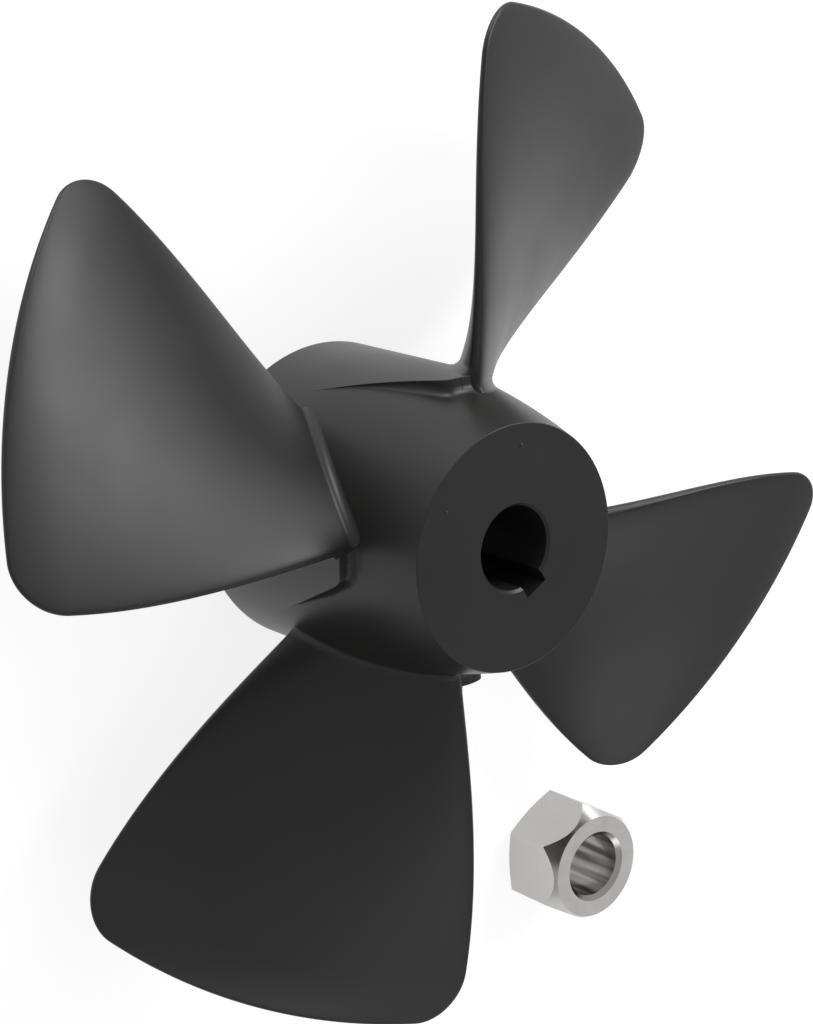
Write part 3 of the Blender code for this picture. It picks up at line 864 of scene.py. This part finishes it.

# %% [markdown]
# Stainless steel, turned on the faces and cones and drawn on the flats. It is a bright, slightly warm
# metal; the turning marks are rings about the nut's own axis, so a Mapping node centres them on it. Real
# ones lie about 0.2 mm apart, too fine for the picture, so they are drawn coarser, at about 3 mm. A Wave
# texture runs through 20 radians in one unit of its vector, and one ring is a full turn.
#
# The bore's colour holds painted reflection: dark streaks of painted shade along it stand in for the bright
# and dull bands that its wall reflects. They are a noise that is
#  stretched along the axis, and they stay inside the bore by the distance from that axis.

# %% Turned stainless steel
STEEL_COLOR = "#B8B6B4"
STEEL_ROUGHNESS = 0.24
TURNING_PITCH = pi * MM
TURNING_DEPTH = 0.01 * MM
TURNING_STRENGTH = 0.06
WAVE_RADIANS = 20
CLOUD_SIZE = 6 * MM
CLOUD_GLOSS = 0.05
CLOUD_DETAIL = 3.0
PAINTED_STREAK_WIDTH = 4.5 * MM
PAINTED_STREAK_LENGTH = 60 * MM
DARKEST_PAINTED_STREAK = 0.2
PAINTED_STREAK_DETAIL = 2.0
PAST_THE_BORE = 0.1 * MM
PAINTED_STREAK_EDGES = {"From Min": 0.4, "From Max": 0.6}


def turned_steel():
    material = bpy.data.materials.new("turned_stainless_steel")
    material.use_nodes = True
    tree = material.node_tree
    shader = tree.nodes["Principled BSDF"]
    where = add(tree, "ShaderNodeTexCoord").outputs["Object"]
    centred = add(tree, "ShaderNodeMapping", {"Vector": where, "Location": -NUT_PLACE})
    rings = add(tree, "ShaderNodeTexWave",
                {"Vector": centred.outputs[0], "Scale": 2 * pi / (WAVE_RADIANS * TURNING_PITCH)},
                wave_type="RINGS", rings_direction="Z")
    flat = add(tree, "ShaderNodeVectorMath", {0: centred.outputs[0], 1: (1, 1, 0)}, operation="MULTIPLY")
    radius = add(tree, "ShaderNodeVectorMath", {0: flat.outputs[0]}, operation="LENGTH").outputs["Value"]
    painted_streak_mask = add(tree, "ShaderNodeMath", {0: radius, 1: NUT_BORE_RADIUS + PAST_THE_BORE},
                  operation="LESS_THAN")
    stretch = Vector((1 / PAINTED_STREAK_WIDTH, 1 / PAINTED_STREAK_WIDTH, 1 / PAINTED_STREAK_LENGTH))
    stretched = add(tree, "ShaderNodeVectorMath", {0: centred.outputs[0], 1: stretch}, operation="MULTIPLY")
    painted_streaks = add(tree, "ShaderNodeTexNoise",
                {"Vector": stretched.outputs[0], "Scale": 1.0, "Detail": PAINTED_STREAK_DETAIL})
    # Painted reflection: the stretched noise darkens the bore's base colour in streaks of painted shade.
    painted_darkening = add(tree, "ShaderNodeMapRange", {"Value": painted_streaks.outputs["Fac"], **PAINTED_STREAK_EDGES,
                                              "To Min": 1 - DARKEST_PAINTED_STREAK, "To Max": 0.0})
    painted_shade_in_bore = add(tree, "ShaderNodeMath", {0: painted_darkening.outputs[0], 1: painted_streak_mask.outputs[0]}, operation="MULTIPLY")
    painted_streak_factor = add(tree, "ShaderNodeMath", {0: 1.0, 1: painted_shade_in_bore.outputs[0]}, operation="SUBTRACT")
    color = add(tree, "ShaderNodeVectorMath", {0: linear(STEEL_COLOR)[:3], "Scale": painted_streak_factor.outputs[0]},
                operation="SCALE")
    tree.links.new(color.outputs[0], shader.inputs["Base Color"])
    cloud = add(tree, "ShaderNodeTexNoise",
                {"Vector": where, "Scale": 1 / CLOUD_SIZE, "Detail": CLOUD_DETAIL})
    gloss = add(tree, "ShaderNodeMapRange", {"Value": cloud.outputs["Fac"], **MIDDLE_OF_NOISE,
                                             "To Min": STEEL_ROUGHNESS - CLOUD_GLOSS,
                                             "To Max": STEEL_ROUGHNESS + CLOUD_GLOSS})
    tree.links.new(gloss.outputs[0], shader.inputs["Roughness"])
    bump = add(tree, "ShaderNodeBump",
               {"Height": rings.outputs["Fac"], "Strength": TURNING_STRENGTH, "Distance": TURNING_DEPTH})
    tree.links.new(bump.outputs[0], shader.inputs["Normal"])
    shader.inputs["Metallic"].default_value = 1.0
    return material


finish_surface(nut, turned_steel())
print("nut finished, open edges:", open_edges(nut.data))

# %% [markdown]
# Both pieces ride on the one body and stand for the CAD nodes they replace.

# %% Tie the pieces to the frame
for piece, nodes, slot in ((propeller, ("hub", "blade_1", "blade_2", "blade_3", "blade_4"), "nylon"),
                           (nut, ("nut",), "steel")):
    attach(piece, "root")
    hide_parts(*nodes)
    print(piece.name, "stands for", *nodes)

# %% [markdown]
# The floor is a white light table: a pale grey sheet that glows, so that the shadows on it stay faint.
# Under the nut a round patch glows less, so that the nut's bore is darker. The surround is dim, because
# black nylon shows its shape by what it reflects.

# %% Floor and surround, in metres
FLOOR_RADIUS = 6.0
FLOOR_CORNERS = 96
FLOOR_COLOR = "#A0A0A0"
FLOOR_ROUGHNESS = 0.9
FLOOR_GLOW = 0.8
PATCH_RADIUS = 15 * MM
PATCH_LIFT = 0.05 * MM
PATCH_GLOW = 0.65
SURROUND = 0.49


def make_sheet(name, place, radius, glow):
    """A round part of the floor, whose paint is the same everywhere and which may glow."""
    bm = bmesh.new()
    bmesh.ops.create_circle(bm, cap_ends=True, segments=FLOOR_CORNERS, radius=radius,
                            matrix=Matrix.Translation(place))
    mesh = bpy.data.meshes.new(name)
    bm.to_mesh(mesh)
    bm.free()
    sheet = bpy.data.objects.new(name, mesh)
    bpy.context.scene.collection.objects.link(sheet)
    material = bpy.data.materials.new(name)
    material.use_nodes = True
    shader = material.node_tree.nodes["Principled BSDF"]
    shader.inputs["Base Color"].default_value = linear(FLOOR_COLOR)
    shader.inputs["Roughness"].default_value = FLOOR_ROUGHNESS
    shader.inputs["Specular IOR Level"].default_value = 0.0
    shader.inputs["Emission Color"].default_value = linear("#FFFFFF")
    shader.inputs["Emission Strength"].default_value = glow
    mesh.materials.append(material)
    return sheet


floor = make_sheet("pale_floor", Vector(), FLOOR_RADIUS, FLOOR_GLOW)
patch = make_sheet("dim_patch", NUT_PLACE + Vector((0, 0, PATCH_LIFT)), PATCH_RADIUS, PATCH_GLOW)
world = bpy.data.worlds.new("surround")
world.use_nodes = True
world.node_tree.nodes["Background"].inputs["Color"].default_value = linear("#FFFFFF")
world.node_tree.nodes["Background"].inputs["Strength"].default_value = SURROUND
bpy.context.scene.world = world
bpy.context.scene.view_settings.view_transform = "Standard"
print("floor radius, m:", FLOOR_RADIUS, "glow of the floor and the patch:", FLOOR_GLOW, PATCH_GLOW)

# %% [markdown]
# Soft square lights stand round the propeller at 1.6 m. Their places and powers were chosen so that each
# blade takes the sheen that it has in the picture.
#
# The polished nut would show each of those lights as a white spot. So they are linked to the moulding and
# the floor, and three small cards that are linked to the nut give its face, one of its corners and the
# chamfer of its bore something bright to reflect.

# %% Lights
LIGHT_DISTANCE = 1.6
LIGHT_SIZE = 0.45
LIGHTS = (
    # name, azimuth and elevation in degrees, watts
    ("key", 130, 42, 6.9),
    ("side", 160, 28, 8.5),
    ("low", 205, 12, 8.0),
    ("right", 36, 35, 1.2),
    ("overhead", 0, 58, 1.0),
)
CARDS = (
    # name, azimuth and elevation in degrees from the nut, distance and size in metres, watts
    ("face_card", 70, 42, 0.5, 0.2, 0.06),
    ("corner_card", 155, 8, 0.45, 0.12, 0.2),
    ("mouth_card", 358, 19, 0.5, 0.2, 0.2),
)


def group(name, objects):
    """A collection that a light can be linked to."""
    collection = bpy.data.collections.new(name)
    for obj in objects:
        collection.objects.link(obj)
    return collection


def soft_light(name, receivers, target, azimuth, elevation, distance, size, power):
    """A square area light that faces a target and lights the receivers; azimuth counts from +X towards +Y."""
    data = bpy.data.lights.new(name, "AREA")
    data.shape = "SQUARE"
    data.size = size
    data.energy = power
    light = bpy.data.objects.new(name, data)
    bpy.context.scene.collection.objects.link(light)
    way = Vector((cos(azimuth) * cos(elevation), sin(azimuth) * cos(elevation), sin(elevation)))
    light.location = target + way * distance
    light.rotation_euler = way.to_track_quat("Z", "Y").to_euler()
    light.light_linking.receiver_collection = receivers


lit_by_lights = group("lit_by_lights", (propeller, floor, patch))
lit_by_cards = group("lit_by_cards", (nut,))
for name, azimuth, elevation, power in LIGHTS:
    soft_light(name, lit_by_lights, Vector(), radians(azimuth), radians(elevation), LIGHT_DISTANCE,
               LIGHT_SIZE, power)
for name, azimuth, elevation, distance, size, power in CARDS:
    soft_light(name, lit_by_cards, NUT_PLACE, radians(azimuth), radians(elevation), distance, size, power)
print("lights on the moulding and the floor:", len(LIGHTS), "cards on the nut:", len(CARDS))
